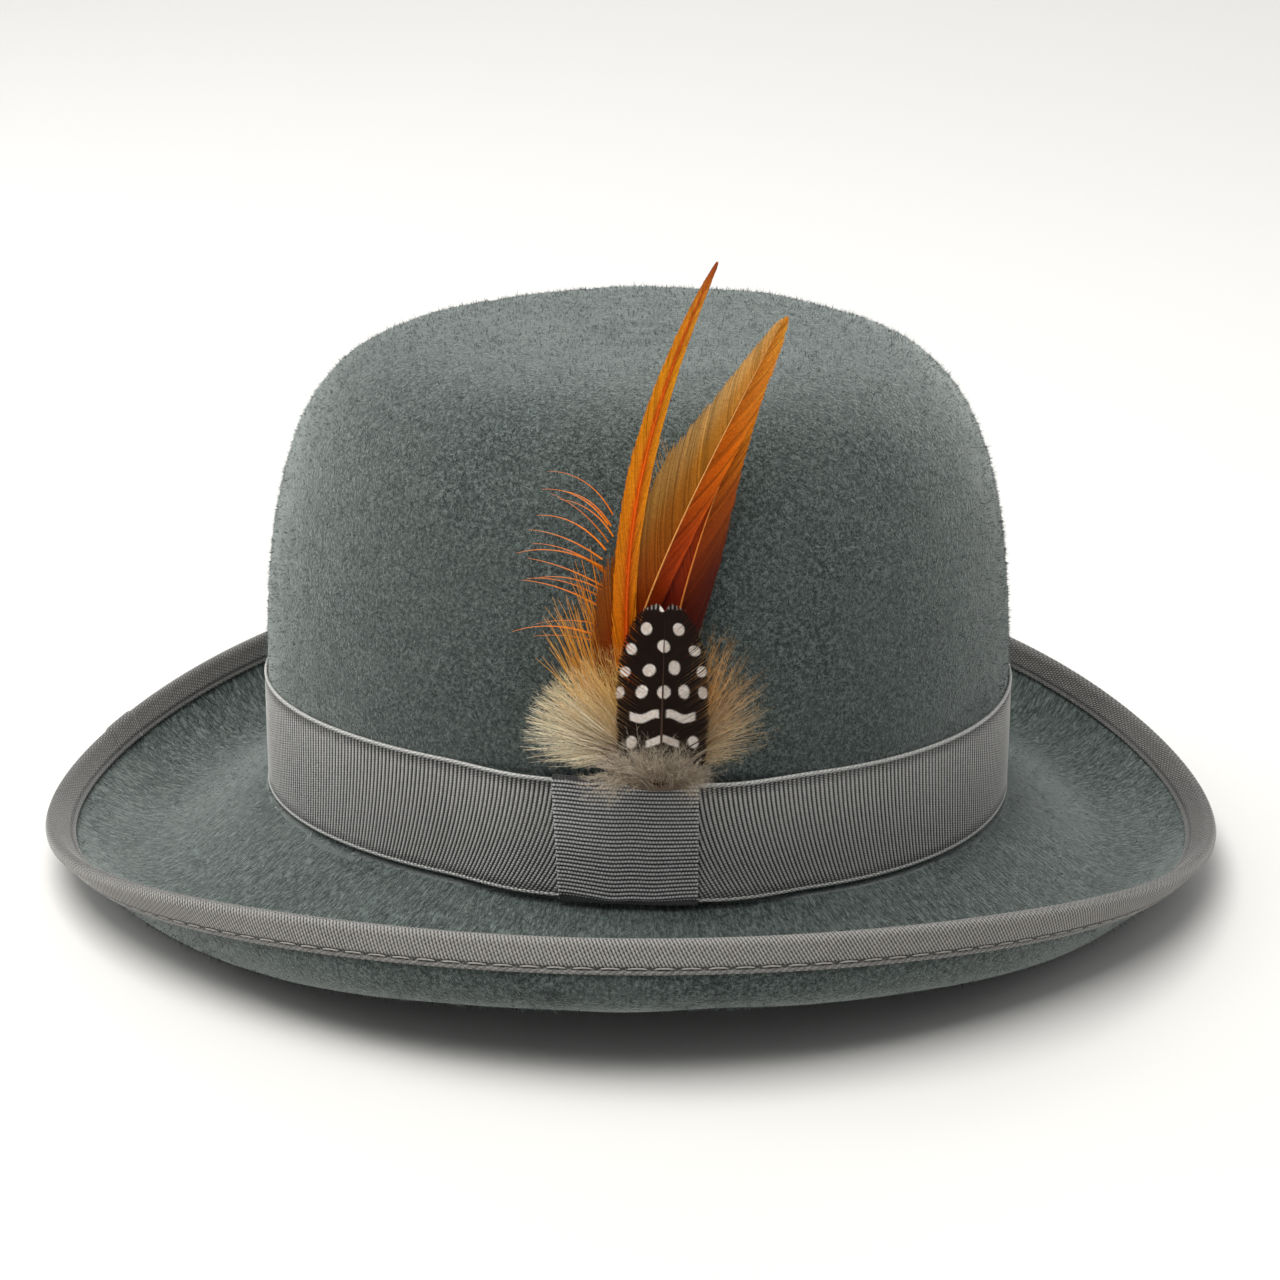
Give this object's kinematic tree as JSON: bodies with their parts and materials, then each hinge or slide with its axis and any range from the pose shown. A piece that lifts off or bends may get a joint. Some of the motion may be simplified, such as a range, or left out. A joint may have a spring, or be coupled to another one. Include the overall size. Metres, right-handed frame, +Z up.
{
  "type": "bowler hat",
  "caption": "Felt bowler hat with a rounded crown, curled bound brim, grosgrain band with keeper, sweatband, satin lining and a feather plume tucked behind the band.",
  "frame": {"origin": "middle of the base of the hat's box, on the surface that the brim rests on", "axes": "+X towards the back of the hat, -X towards its front, -Y towards the wearer's left side, where the plume is, +Z up"},
  "size_m": [0.3254, 0.2722, 0.1858],
  "materials": {
    "felt": "matt, short nap, dark slate green-grey",
    "binding_ribbon": "grosgrain, dull sheen",
    "band_ribbon": "grosgrain, dull sheen",
    "keeper_ribbon": "coarse grosgrain, dull sheen",
    "sweatband_leather": "smooth, satin",
    "reed_cord": "smooth",
    "bow_ribbon": "fine ribbon",
    "lining_satin": "satin weave, soft gloss",
    "tab_buckram": "stiffened open weave",
    "quill_thread": "wound thread",
    "orange_feather": "hackle, silky sheen",
    "olive_feather": "hackle, silky sheen",
    "rust_feather": "hackle, silky sheen",
    "guinea_feather": "dark with pale spots",
    "golden_fluff": "downy"
  },
  "bodies": {
    "hat": {"felt_shell": "felt", "brim_binding": "binding_ribbon", "hat_band": "band_ribbon", "band_keeper": "keeper_ribbon", "sweatband": "sweatband_leather", "sweatband_reed": "reed_cord", "sweatband_bow": "bow_ribbon", "lining_side": "lining_satin", "lining_tip": "lining_satin"},
    "plume": {"feather_tab": "tab_buckram", "quill_binding": "quill_thread", "tall_hackle": "orange_feather", "olive_hackle": "olive_feather", "rust_hackle": "rust_feather", "hackle_wisps": "orange_feather", "guinea_feather": "guinea_feather", "left_fluff": "golden_fluff", "right_fluff": "golden_fluff"}
  },
  "joints": [
    {"name": "plume_pull", "type": "slide", "parent": "hat", "child": "plume", "axis": [0, 0, 1], "range_m": [0, 0.024]}
  ]
}
